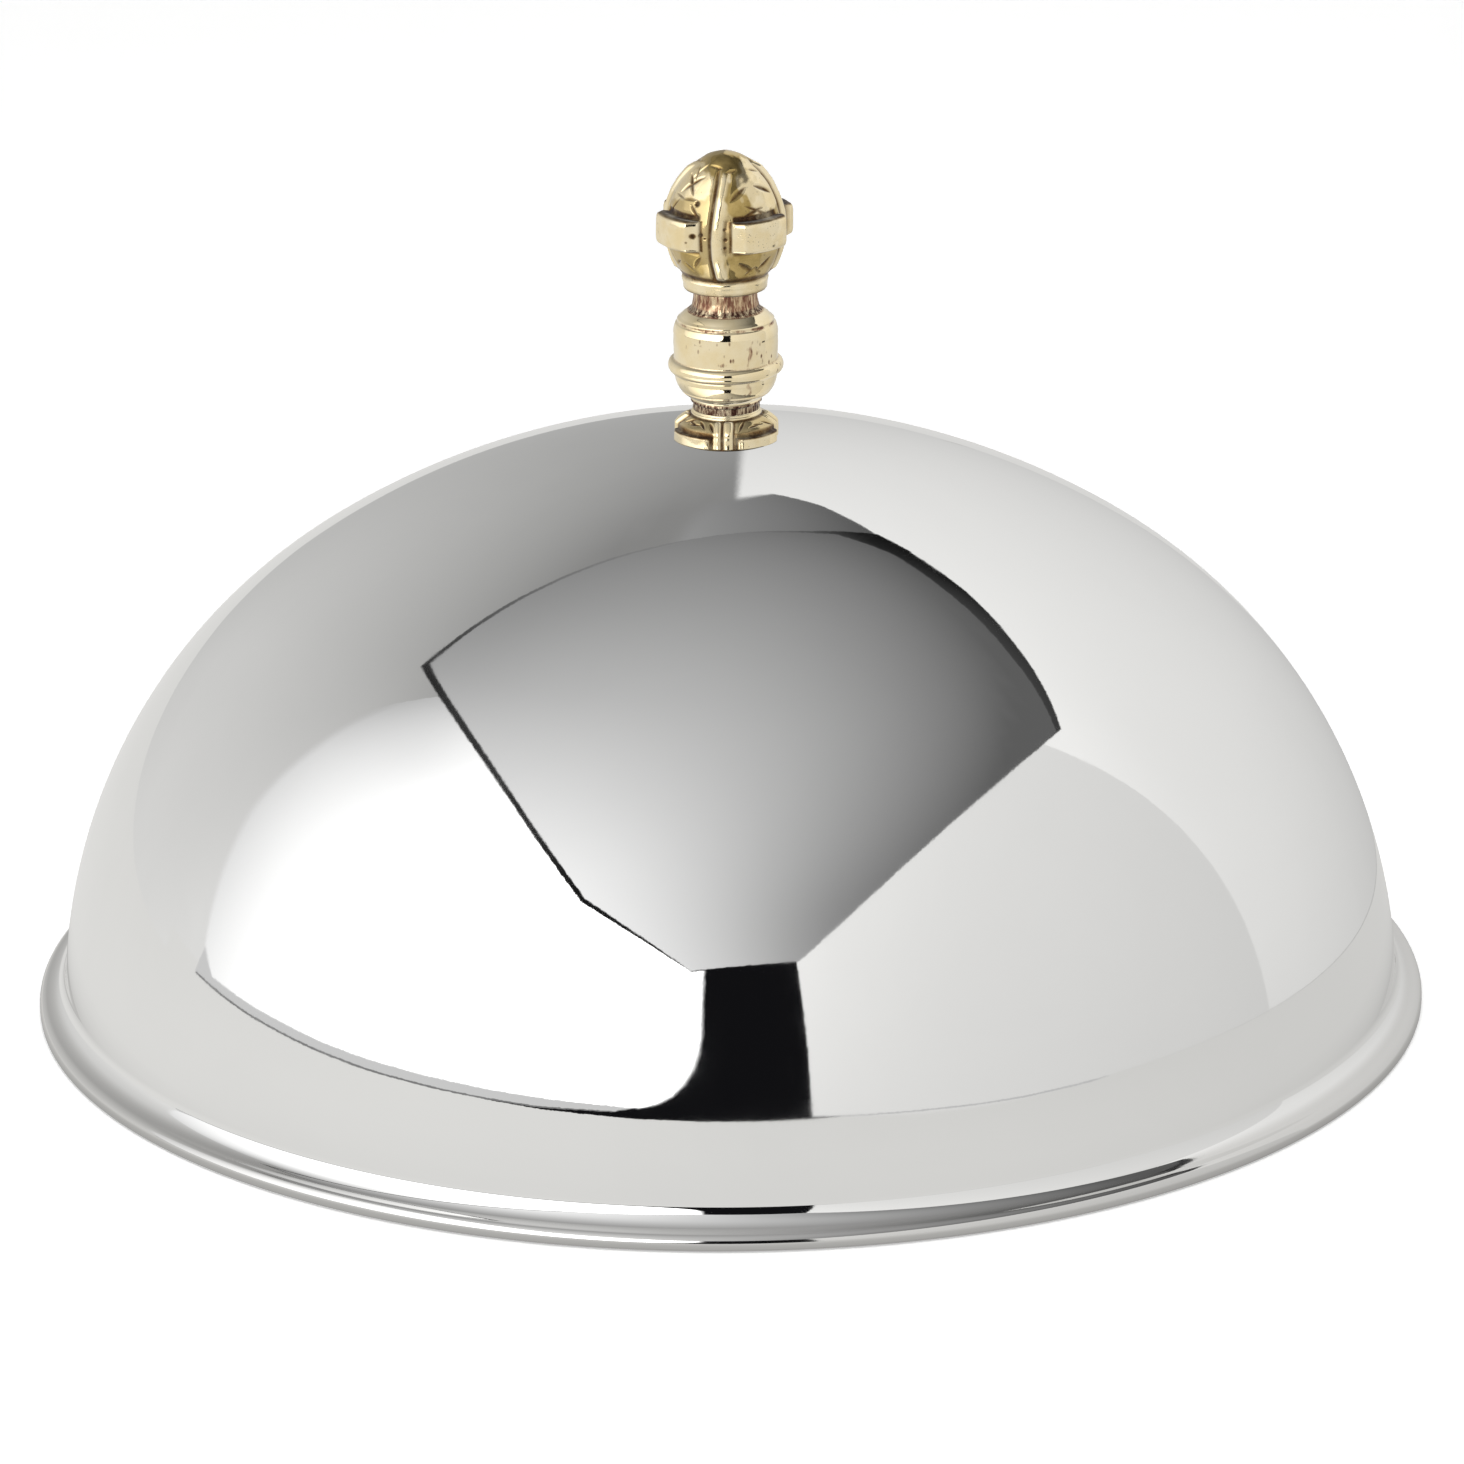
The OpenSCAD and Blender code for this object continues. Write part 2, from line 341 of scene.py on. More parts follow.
STEEL_MIRROR = mirror_steel()
STEEL_SATIN = satin_steel()
BRASS_CAST = cast_brass()
BRASS_TURNED = turned_brass()
ZINC = plated_steel("zinc_plate", (0.62, 0.64, 0.66), 0.26)
NICKEL = plated_steel("nickel_plate", (0.74, 0.71, 0.65), 0.14)


# ---------------------------------------------------------------- the dome

RIM_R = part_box("dome_shell")[1].x / MM
CROWN_Z = round(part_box("dome_shell")[1].z / MM, 1)
CROWN_R = 168.0
FLANGE_W = 5.6
SHEET = 0.8
COVE_R = 5.2
BEND_R = 2.0
SKIRT_H = 1.2
HOLE_R = 2.7


def crossing(a, a_radius, b, b_radius):
    """The higher of the two points where two circles in the section cross."""
    dx, dz = b[0] - a[0], b[1] - a[1]
    apart = math.hypot(dx, dz)
    along = (a_radius ** 2 - b_radius ** 2 + apart ** 2) / (2 * apart)
    aside = math.sqrt(a_radius ** 2 - along ** 2)
    return a[0] + (along * dx - aside * dz) / apart, a[1] + (along * dz + aside * dx) / apart


def dome_profile():
    """The sheet's section: crown arc, side arc, cove, bend and skirt, then back inside.
    Returns the points in millimetres and how many of them are on the outside."""
    wall_r = RIM_R - FLANGE_W
    drop, step = CROWN_R - CROWN_Z, CROWN_R - wall_r
    gap = (drop * drop + step * step) / (2 * step)
    side_r = CROWN_R - gap
    side_x = wall_r - side_r
    crown_angle = 90 - math.degrees(math.atan2(side_x, drop))
    bend_x = RIM_R - BEND_R
    cove_x, cove_z = crossing((side_x, 0), side_r + COVE_R, (bend_x, SKIRT_H), COVE_R + BEND_R)
    cove_angle = math.degrees(math.atan2(cove_z, cove_x - side_x))
    turn_angle = math.degrees(math.atan2(cove_z - SKIRT_H, cove_x - bend_x))
    edge = 0.2

    def face(inset, crown, side, cove, bend):
        """One face of the sheet, from the hole to the skirt."""
        radius = CROWN_R - inset
        start = math.degrees(math.acos(HOLE_R / radius))
        points = arc(0, CROWN_Z - CROWN_R, radius, start, crown_angle, crown)[:-1]
        points += arc(side_x, 0, side_r - inset, crown_angle, cove_angle, side)[:-1]
        points += arc(cove_x, cove_z, COVE_R + inset, 180 + cove_angle, 180 + turn_angle, cove)[:-1]
        points += arc(bend_x, SKIRT_H, BEND_R - inset, turn_angle, 0, bend)
        return points

    outside = face(0, 44, 48, 16, 16)
    outside += line((RIM_R, SKIRT_H), (RIM_R, edge), 2)
    outside += arc(RIM_R - edge, edge, edge, 0, -90, 5)
    inside = arc(RIM_R - SHEET + edge, edge, edge, -90, -180, 5)
    inside += line((RIM_R - SHEET, edge), (RIM_R - SHEET, SKIRT_H), 1)
    inside += face(SHEET, 28, 30, 10, 8)[::-1]
    return outside + inside, len(outside)


def build_dome():
    profile, outside = dome_profile()
    points = lathe_points(np.array(profile) * MM, 444)
    satin = (np.arange(len(profile)) > outside - 4) & (np.arange(len(profile)) < len(profile) - 1)
    piece = lathe_mesh("dome", points[::-1], True, [STEEL_MIRROR, STEEL_SATIN],
                       satin[::-1].astype(int))
    settle(piece, "dome_shell")


build_dome()


# ---------------------------------------------------------------- the finial's head

HEAD_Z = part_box("finial_head")[0].z / MM
HEAD_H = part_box("finial_head")[1].z / MM - HEAD_Z
HEAD_R = 12.2
HEAD_WAIST = 13.5
NOSE_R = 8.0
COLLAR_R = 9.1
COLLAR_H = 3.4
BELT_R = 14.8
BELT_H = 6.4
BELT_MID = 13.9
STUD_R = 2.5
HEAD_HOLE = 13.0
HEAD_TURN = -8.0
FOOT_TURN = -3.0
FRONT = 270.0

# A chiselled vein: degrees from its rib, height, length, slant up to the right, depth, half width
HEAD_VEINS = [
    (-8, 27.3, 3.4, -18, 0.34, 0.42),
    (20, 26.5, 3.3, 25, 0.34, 0.45),
    (25, 22.6, 5.2, 38, 0.50, 0.75),
    (42, 18.9, 5.4, 15, 0.42, 0.60),
    (-42, 26.2, 5.2, 66, 0.30, 0.36),
    (-43, 24.0, 7.0, 44, 0.46, 0.72),
    (-36, 21.1, 4.6, 4, 0.34, 0.36),
    (-27, 19.0, 3.8, -47, 0.42, 0.50),
    (-57, 6.7, 3.2, 30, 0.36, 0.50),
    (-23, 7.9, 4.2, 54, 0.46, 0.60),
    (32, 6.6, 5.0, -36, 0.50, 0.80),
    (49, 5.6, 3.6, -42, 0.34, 0.60),
]

# A pit: degrees from the front rib, height, radius, depth
HEAD_PITS = [
    (-24.4, 20.5, 0.80, 0.42), (-21.5, 14.2, 0.75, 0.34), (-15.5, 14.3, 0.5, 0.30),
    (-12.0, 13.6, 0.4, 0.28),
    (7.5, 15.6, 0.4, 0.26), (8.5, 13.4, 0.5, 0.28), (8.0, 11.6, 0.4, 0.24), (-26.0, 13.0, 0.35, 0.2),
]

# Where a leaf is made paler or more olive, partly buffing and partly painted reflection of bright and dark
# cards: degrees from the front rib, height, radius, change
HEAD_BUFF_AND_REFLECTION = [
    (62, 24.0, 6.5, 0.75), (52, 17.5, 3.2, 0.45), (28, 24.0, 5.5, -0.45), (14, 28.0, 4.0, -0.45),
    (24, 20.5, 3.0, -0.25), (30, 7.0, 4.5, -0.5), (-30, 7.5, 3.5, -0.2), (-26, 24.0, 3.5, 0.25),
    (-60, 24.0, 5.0, 0.3), (150, 24.0, 6.0, 0.5), (215, 9.0, 5.0, -0.4), (240, 22.0, 5.0, -0.35),
]

# Where the groove left of each rib runs: height, and millimetres across from the rib
GROOVE_PATH = [(3, -0.7), (6, -1.05), (9, -1.5), (13, -1.6), (17, -1.3), (21, -0.8), (24.5, -0.45),
               (28, -0.3)]


EGG_RISE = HEAD_H - NOSE_R - HEAD_WAIST
EGG_SIDE_R = (HEAD_R ** 2 + EGG_RISE ** 2 - NOSE_R ** 2) / (2 * (HEAD_R - NOSE_R))


def egg_rows():
    """Outside of the head, from the collar's lower edge to the nose."""
    side, centre = EGG_SIDE_R, HEAD_R - EGG_SIDE_R
    join_z = HEAD_WAIST + side * math.sin(math.atan2(EGG_RISE, -centre))
    low, high = BELT_MID - BELT_H / 2, BELT_MID + BELT_H / 2
    ledge = [0.0, 0.03, 0.09, 0.18, 0.30, 0.45]
    heights = np.concatenate([
        np.linspace(COLLAR_H + 0.1, low - 0.08, 34),
        [low + x for x in ledge],
        np.linspace(low + 0.6, high - 0.6, 34),
        [high - x for x in reversed(ledge)],
        np.linspace(high + 0.08, join_z, 74),
    ])
    body = [(centre + math.sqrt(side ** 2 - (z - HEAD_WAIST) ** 2), z) for z in heights]
    start = 90 - math.degrees(math.asin(body[-1][0] / NOSE_R))
    nose = arc(0, HEAD_H - NOSE_R, NOSE_R, start, 90, 30)[1:]
    collar = arc(COLLAR_R - 0.7, 0.5, 0.5, -90, -10, 5)
    collar += [(8.95, 1.2), (9.1, 1.8), (9.2, 2.3), (9.12, 2.7), (8.86, 3.0), (8.74, 3.25)]
    return collar + body + nose


def angle_from_rib(x, y, turn):
    """Angle of each point from its nearest rib, -45 to 45 degrees, and which rib that is."""
    angle = np.degrees(np.arctan2(y, x)) - FRONT - turn
    nearest = np.round(angle / 90)
    return angle - 90 * nearest, nearest.astype(int) % 4


def carve_veins(points, veins, turn, on_slope):
    """Depth of the chiselled veins at each point. on_slope gives a vein's place on the surface."""
    depth = np.zeros(points.shape[:-1])
    draw = np.random.default_rng(21)
    for rib in range(4):
        for degrees, height, length, slant, deep, half_width in veins:
            jitter = draw.normal(size=4) if rib else np.zeros(4)
            if rib % 2:
                degrees, slant = -degrees, -slant
            degrees += 2.0 * jitter[0]
            slant += 6.0 * jitter[1]
            length *= 1 + 0.1 * jitter[2]
            angle = math.radians(FRONT + turn + 90 * rib + degrees)
            centre, up = on_slope(angle, height + 0.25 * jitter[3])
            right = np.array([-math.sin(angle), math.cos(angle), 0.0])
            lean = math.radians(slant)
            along = right * math.cos(lean) + up * math.sin(lean)
            across = up * math.cos(lean) - right * math.sin(lean)
            offset = points - centre
            u = offset @ along / (length / 2)
            v = offset @ across / half_width
            facing = offset @ np.cross(right, up)
            lens = np.clip(1 - u * u, 0, 1) ** 0.75
            side = 1 - np.abs(v) / np.maximum(lens, 1e-3)
            near = (side > 0) & (np.abs(facing) < 2.5)
            depth = np.maximum(depth, np.where(near, deep * lens ** 0.6 * np.clip(side, 0, 1) ** 0.9, 0))
    return depth


def lathe_normals(points):
    """Outward normals of a grid of turned points."""
    along = np.gradient(points, axis=0)
    around = np.roll(points, -1, axis=1) - np.roll(points, 1, axis=1)
    normals = np.cross(around, along)
    normals = normals / np.maximum(np.linalg.norm(normals, axis=-1, keepdims=True), 1e-9)
    normals[-1][np.abs(points[-1, :, 0]) < 1e-6] = (0, 0, 1)
    return normals


def on_egg(turn, height):
    """A point on the egg's side, and the way up along its surface."""
    lean = math.asin((height - HEAD_WAIST) / EGG_SIDE_R)
    radius = HEAD_R - EGG_SIDE_R + EGG_SIDE_R * math.cos(lean)
    centre = np.array([radius * math.cos(turn), radius * math.sin(turn), height])
    up = np.array([-math.sin(lean) * math.cos(turn), -math.sin(lean) * math.sin(turn), math.cos(lean)])
    return centre, up


def build_head():
    inside = [(0, HEAD_HOLE), (1.2, HEAD_HOLE), (STUD_R, HEAD_HOLE)]
    inside += line((STUD_R, HEAD_HOLE), (STUD_R, 0), 3) + [(STUD_R, 0.0), (5.0, 0.0)]
    outside = egg_rows()
    profile = np.array(inside + outside)
    first = len(inside)
    points = lathe_points(profile, 432)
    base = points.copy()
    r, z = profile[:, :1], profile[:, 1:]
    x, y = points[..., 0], points[..., 1]
    angle, rib = angle_from_rib(x, y, HEAD_TURN)
    spin = np.radians(angle)
    across = r * np.sin(spin)
    body = np.zeros_like(x)
    body[first + 11:] = 1.0

    # belts: a band round the head, its ends planed down towards each rib and stopped short of it
    front = rib == 0
    gap = np.where(angle < 0, np.where(front, 16.6, 14.4), 14.2)
    corner = np.radians(np.where(front, np.where(angle < 0, 26.6, 25.0), 20.5))
    planed = np.radians(np.where(angle < 0, 14.0, 17.0))
    lean = np.abs(spin)
    facet = BELT_R * np.cos(corner + planed) / np.cos(lean + planed)
    plan = np.minimum(BELT_R, facet)
    tall = np.clip(1 - np.abs((z - BELT_MID) / (BELT_H / 2)) ** 6, 0, 1) ** (1 / 4)
    ends = smooth((np.abs(angle) - gap) / 1.5) ** 0.6
    belt = tall * ends * body
    out = (plan - r) * belt
    beyond = np.abs(z - BELT_MID) - BELT_H / 2
    under_belt = smooth((np.abs(angle) - gap) / 4)
    channel = 0.42 * bell(beyond - 0.6, 0.65) * under_belt

    # ribs: a round ridge with a narrow groove on its left, fading out at both ends
    fade = smooth((z - 3.6) / 1.6) * smooth((28.0 - z) / 2.4)
    path = np.interp(z, *zip(*GROOVE_PATH))
    ridge = 0.72 * bell(across - path - 1.5, 1.05, 3)
    groove = 0.62 * bell(across - path, 0.46)
    valley = 0.38 * bell(across - path - 3.2, 0.75) * smooth((4.6 - np.abs(z - BELT_MID)) / 1.5)
    out += (ridge - groove - valley) * fade * body * (1 - belt) - channel * body * (1 - belt)

    # the leaves swell a little and the whole head is hand finished
    swell = 0.16 * np.cos(4 * spin) * body * (1 - belt) * smooth(r / 8)
    wobble = 0.05 * soft_noise(base, 7.0, 9, 3) + 0.022 * soft_noise(base, 2.2, 12, 4)
    normals = lathe_normals(base)
    points += normals * (out + swell + wobble * smooth(z / 1.5))[..., None]

    veins = carve_veins(base, HEAD_VEINS, HEAD_TURN, on_egg) * body * (1 - belt)
    pits = np.zeros_like(x)
    for degrees, height, radius, deep in HEAD_PITS:
        centre, _ = on_egg(math.radians(FRONT + HEAD_TURN + degrees), height)
        near = np.linalg.norm(base - centre, axis=-1) / radius
        pits = np.maximum(pits, deep * smooth(1.15 - near))
    points -= normals * (veins + pits * (1 - 0.6 * belt))[..., None]
    points[..., 2] = np.minimum(points[..., 2], HEAD_H)

    # brown patina: in cuts and pits, in the groove, on the belts' ledges and round the collar
    ledge = bell(beyond - 0.35, 0.8, 3) * smooth((np.abs(angle) - gap) / 5)
    end_wall = bell(np.abs(angle) - gap + 0.6, 1.5) * smooth((0.4 - beyond) / 0.5)
    seam = bell(z - 3.6, 0.8)
    under = smooth((0.9 - z) / 0.9)
    recess = 1.7 * veins + 2.6 * pits + (1.3 * groove + 1.1 * valley) * fade * body
    recess += 1.15 * ledge * np.where(z > BELT_MID, 1, 0.55) + 0.7 * end_wall + 0.75 * seam + 0.6 * under
    # painted reflection: this value makes the belts, ribs and collar pale and the leaves olive, and the
    # listed patches lighten or darken leaves; it is partly buffing and partly painted bright and dark
    # reflection
    buff_and_reflection = 0.34 + belt + 0.9 * fade * body * bell(across - path - 1.5, 1.1) + smooth((3.4 - z) / 0.8)
    for degrees, height, radius, change in HEAD_BUFF_AND_REFLECTION:
        centre, _ = on_egg(math.radians(FRONT + HEAD_TURN + degrees), height)
        near = np.linalg.norm(base - centre, axis=-1) / radius + 0.12 * soft_noise(base, 2.5, 10, 31)
        buff_and_reflection += change * smooth((1.05 - near) / 0.3) * (1 - belt) * body
    settle_brass("head", points, HEAD_Z, False, BRASS_CAST, {"recess": recess, "buff_and_reflection": buff_and_reflection},
                 "finial_head")


build_head()


# ---------------------------------------------------------------- the finial's barrel

BARREL_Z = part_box("finial_barrel")[0].z / MM
BARREL_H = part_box("finial_barrel")[1].z / MM - BARREL_Z


# A brown smear on the turned barrel: degrees from the front, height, half width, half height, strength
BARREL_SMEARS = [
    (28, 14.2, 1.0, 2.6, 0.55), (31, 17.0, 0.5, 1.2, 0.4), (27, 6.6, 1.1, 1.6, 0.5),
    (44, 12.6, 0.5, 1.6, 0.35), (-3, 12.2, 1.5, 0.5, 0.45), (-34, 16.2, 1.6, 0.35, 0.3),
    (118, 14.0, 1.2, 2.2, 0.45), (205, 6.8, 1.4, 1.2, 0.45), (262, 15.0, 0.9, 2.0, 0.4),
]


def build_barrel():
    low_neck, high_neck = 2.4, 22.2
    profile = [(HOLE_R, BARREL_H), (HOLE_R, BARREL_H / 2), (HOLE_R, 0.0), (5.0, 0.0)]
    profile += arc(6.9, 0.25, 0.25, -90, 0, 4)
    profile += line((7.15, 0.25), (7.0, 1.5), 4)
    profile += arc(7.1, 2.0, 0.45, -90, 60, 8)
    profile += [(7.15, 2.62), (7.3, 2.72)]
    profile += arc(5.4, low_neck + 5.3, 5.4, -68, -44, 12)
    profile += [(9.42, 4.0), (9.52, 4.12), (9.5, 4.3), (9.44, 4.46), (9.55, 4.6)]
    profile += arc(5.4, low_neck + 5.3, 5.45, -34, 0, 22)
    profile += [(10.9, 8.0), (11.0, 8.16)]
    bead = np.linspace(-1.45, 1.45, 27)
    profile += [(10.95 + 1.3 * math.cos(t) ** 0.7, 9.65 + 1.35 * math.sin(t)) for t in bead]
    profile += [(11.05, 11.05), (10.98, 11.2)]
    profile += line((10.98, 11.3), (11.1, 14.6), 12) + line((11.1, 14.6), (11.05, 16.6), 10)
    profile += arc(5.6, 16.7, 5.5, 0, 23, 10)
    profile += [(10.58, 18.95), (10.42, 19.02), (10.26, 19.2), (10.2, 19.4), (10.22, 19.6)]
    profile += [(10.3, 19.74), (10.1, 19.98)]
    profile += arc(5.5, 16.7, 5.5, 40, 66, 12)
    profile += [(7.78, 21.8), (7.5, 21.95), (7.3, 22.2), (7.12, 22.6)]
    profile += line((7.1, 22.7), (6.75, 24.2), 8) + line((6.75, 24.2), (6.75, 25.6), 6)
    profile += [(6.85, 26.1), (7.0, BARREL_H - 0.15), (6.9, BARREL_H), (5.0, BARREL_H)]
    profile = np.array(profile)
    points = lathe_points(profile, 288)
    r, z = profile[:, :1], profile[:, 1:]
    outside = smooth((r - 6.2) / 0.3)
    neck = smooth((z - high_neck + 0.9) / 0.6) + smooth((low_neck - z) / 0.4)
    root = smooth((z - high_neck + 0.9) / 0.5) * smooth((23.3 - z) / 0.8) + smooth((low_neck - z) / 0.3)
    groove = bell(z - 19.36, 0.36)
    corners = 0.35 * bell(z - 8.2, 0.18) + 0.35 * bell(z - 11.15, 0.18)
    corners += 0.4 * bell(z - 4.05, 0.14) + 0.3 * bell(z - 4.5, 0.12)
    base = points.copy()
    normals = lathe_normals(base)
    tool = soft_noise(base * np.array([1, 1, 0.15]), 0.9, 24, 11)
    push = 0.035 * soft_noise(base, 8.0, 8, 5) + 0.05 * tool * smooth(neck) + 0.03 * tool * groove
    points += normals * (push * outside)[..., None]
    blotch = soft_noise(base, 3.0, 10, 8)
    front = smooth(0.35 - base[..., 1] / 8)
    recess = 0.62 * smooth(neck) + 0.38 * smooth(root) + corners
    recess = (recess + 0.85 * groove * smooth(0.6 + 0.5 * blotch) * front) * outside
    fine = soft_noise(base * np.array([1, 1, 0.4]), 0.8, 20, 17)
    turned = np.degrees(np.arctan2(base[..., 1], base[..., 0])) - FRONT
    for degrees, height, half_width, half_height, strength in BARREL_SMEARS:
        away = np.radians((turned - degrees + 180) % 360 - 180) * r / half_width
        near = 1 - np.hypot(away, (z - height) / half_height)
        recess = np.maximum(recess, strength * smooth(near + 0.35 * fine) * outside)
    settle_brass("barrel", points, BARREL_Z, True, BRASS_TURNED, {"recess": recess},
                 "finial_barrel")


build_barrel()


# ---------------------------------------------------------------- the finial's foot

FOOT_Z = CROWN_Z
FOOT_H = BARREL_Z - FOOT_Z

FOOT_VEINS = [
    (24, 9.0, 3.6, 52, 0.44, 0.46),
    (40, 9.4, 3.0, 8, 0.36, 0.40),
    (-17, 9.2, 2.8, -62, 0.42, 0.50),
    (-31, 9.0, 3.2, -44, 0.44, 0.46),
    (-43, 9.2, 3.2, 12, 0.38, 0.40),
]


def foot_slope(r):
    """Height of the leaves' upper surface at a radius."""
    return 5.35 - 2.45 * np.clip((r - 7.6) / 3.4, 0, 1.3) ** 1.35


def seat(r):
    """Height of the crown's outside at a radius, below its top."""
    return math.sqrt(CROWN_R ** 2 - r * r) - CROWN_R


def build_foot():
    profile = [(HOLE_R, FOOT_H), (HOLE_R, 3.0), (HOLE_R, seat(HOLE_R))]
    profile += [(r, seat(r)) for r in (4.0, 6.0, 8.0, 9.5, 10.1)]
    profile += [(10.25, seat(10.2) + 0.03), (10.32, 0.0)]
    profile += [(10.36, z) for z in (0.12, 0.2, 0.26, 0.34, 0.46)]
    profile += [(10.4, z) for z in np.linspace(0.7, 2.2, 9)]
    profile += [(10.4, z) for z in (2.42, 2.54, 2.62, 2.68, 2.74)]
    profile += [(r, foot_slope(r)) for r in np.linspace(10.36, 7.65, 26)]
    profile += [(7.5, 5.42), (7.46, 5.52)]
    profile += arc(7.25, 5.8, 0.25, -30, 90, 7)[0:6]
    profile += [(7.1, 6.2)] + arc(7.0, 6.3, 0.2, 0, 90, 4) + [(5.0, FOOT_H)]
    profile = np.array(profile)
    points = lathe_points(profile, 400)
    base = points.copy()
    r, z = profile[:, :1], profile[:, 1:]
    angle, _ = angle_from_rib(points[..., 0], points[..., 1], FOOT_TURN)
    spin = np.radians(angle)
    across = r * np.sin(spin)
    edge = smooth((r - 8.6) / 1.6) * smooth((z + 0.05) / 0.2)
    low, high = 0.2, 2.7
    middle, tall = (low + high) / 2, (high - low)
    band = np.clip(1 - np.abs((z - middle) / (tall / 2)) ** 7, 0, 1) ** (1 / 6)
    plan = np.minimum(11.75, 10.95 / np.cos(spin))
    ends = smooth((np.abs(angle) - 14.0) / 2.2) ** 0.6
    belt = band * ends * smooth((r - 10.3) / 0.05)
    out = (plan - r) * belt
    ridge = 0.62 * bell(across - 0.85, 0.95, 4)
    second = 0.38 * bell(across + 1.25, 0.55, 4)
    groove = 0.42 * bell(across + 0.42, 0.36)
    notch = 0.35 * bell(across - 2.1, 0.35)
    rib_fade = smooth((r - 7.5) / 1.0) * smooth((z + 0.1) / 0.35)
    out += (ridge + second - groove - notch) * rib_fade * (1 - belt)
    lobes = 0.45 * (1 - np.cos(4 * spin)) / 2 * edge * (1 - belt)
    wobble = 0.045 * soft_noise(base, 6.0, 9, 13) + 0.02 * soft_noise(base, 2.0, 12, 14)
    normals = lathe_normals(base)
    flat = smooth((z + 0.02) / 0.3) * smooth((r - 6.6) / 0.5)
    points += normals * ((out + lobes + wobble) * flat)[..., None]

    def on_foot(turn, radius):
        slope = (foot_slope(radius + 0.05) - foot_slope(radius - 0.05)) / 0.1
        centre = np.array([radius * math.cos(turn), radius * math.sin(turn), foot_slope(radius)])
        up = np.array([-math.cos(turn), -math.sin(turn), -slope])
        return centre, up / np.linalg.norm(up)

    veins = carve_veins(base, FOOT_VEINS, FOOT_TURN, on_foot)
    veins = veins * smooth((r - 7.4) / 0.4) * (1 - belt) * (z > 2.4)
    points -= normals * veins[..., None]
    ledge = bell(z - high - 0.3, 0.55, 3) * smooth((np.abs(angle) - 11) / 4) * (r > 8.6)
    end_wall = bell(np.abs(angle) - 14.4, 2.0) * (z < high + 0.2)
    seam = bell(z - 5.45, 0.25) * (r > 6.5)
    # painted contact shade: the foot is darkened along its lowest edge, where it sits on the dome
    contact_shade = smooth((0.25 - z) / 0.3)
    recess = 2.6 * veins + (2.0 * groove + 1.8 * notch) * rib_fade
    recess += 1.1 * ledge + 0.8 * end_wall + 0.8 * seam + 0.7 * contact_shade
    # painted reflection: as on the head, this value is partly buffing and partly painted bright and dark
    # reflection, pale on belts and ribs and olive on the leaves
    buff_and_reflection = 0.42 + belt + rib_fade * (bell(across - 0.85, 1.0) + bell(across + 1.25, 0.6))
    buff_and_reflection += smooth((z - 5.5) / 0.2) * (r > 6.0)
    settle_brass("foot", points, FOOT_Z, True, BRASS_CAST, {"recess": recess, "buff_and_reflection": buff_and_reflection},
                 "finial_foot")


build_foot()


# ---------------------------------------------------------------- the fixings inside the crown

def build_backing_washer():
    """A large washer, curved on top like the inside of the crown that it bears on."""
    low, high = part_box("backing_washer")
    radius, bottom = high.x / MM, low.z / MM
    edge = 0.25

    def top(r):
        return math.sqrt((CROWN_R - SHEET) ** 2 - r * r) + CROWN_Z - CROWN_R

    profile = [(HOLE_R, top(HOLE_R)), (HOLE_R, bottom + edge)]
    profile += arc(HOLE_R + edge, bottom + edge, edge, -180, -90, 5)[1:]
    profile += line((HOLE_R + edge, bottom), (radius - edge, bottom), 6)
    profile += arc(radius - edge, bottom + edge, edge, -90, 0, 6)
    profile += [(r, top(r)) for r in np.linspace(radius, HOLE_R, 9)[:-1]]
    points = lathe_points(np.array(profile) * MM, 128)
    piece = lathe_mesh("backing_washer_plate", points, True, [ZINC])
    settle(piece, "backing_washer")


def build_lock_washer():
    """A ring of rounded square section, split at one side, its section leaning a little."""
    low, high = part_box("lock_washer")
    outer, inner = high.x / MM, HOLE_R
    bottom, top = low.z / MM, high.z / MM
    edge = 0.18
    far, near = outer - edge, inner + edge
    section = arc(far, bottom + edge, edge, -90, 0, 4) + arc(far, top - edge, edge, 0, 90, 4)
    section += arc(near, top - edge, edge, 90, 180, 4) + arc(near, bottom + edge, edge, 180, 270, 4)
    section = np.array(section)
    split = 7.0
    middle_z = (bottom + top) / 2
    rings = []
    for turn in np.radians(np.linspace(split, 360 - split, 97)):
        lean = 0.36 * (section[:, 1] - middle_z) * math.cos(turn / 2)
        angle = turn + 0.12 * lean
        x, y = section[:, 0] * np.cos(angle), section[:, 0] * np.sin(angle)
        rings.append(np.stack([x, y, section[:, 1]], axis=-1))
    rings = np.array(rings)
    count, around = rings.shape[:2]
    index = np.arange(count * around).reshape(count, around)
    beside = np.roll(index, -1, axis=1)
    faces = np.stack([index[:-1], index[1:], beside[1:], beside[:-1]], axis=-1).reshape(-1, 4).tolist()
    faces += [index[0].tolist(), index[-1][::-1].tolist()]
    mesh = bpy.data.meshes.new("lock_washer_ring")
    mesh.from_pydata((rings.reshape(-1, 3) * MM).tolist(), [], faces)
    mesh.polygons.foreach_set("use_smooth", [True] * (len(faces) - 2) + [False] * 2)
    mesh.materials.append(ZINC)
    settle(add_object("lock_washer_ring", mesh), "lock_washer")


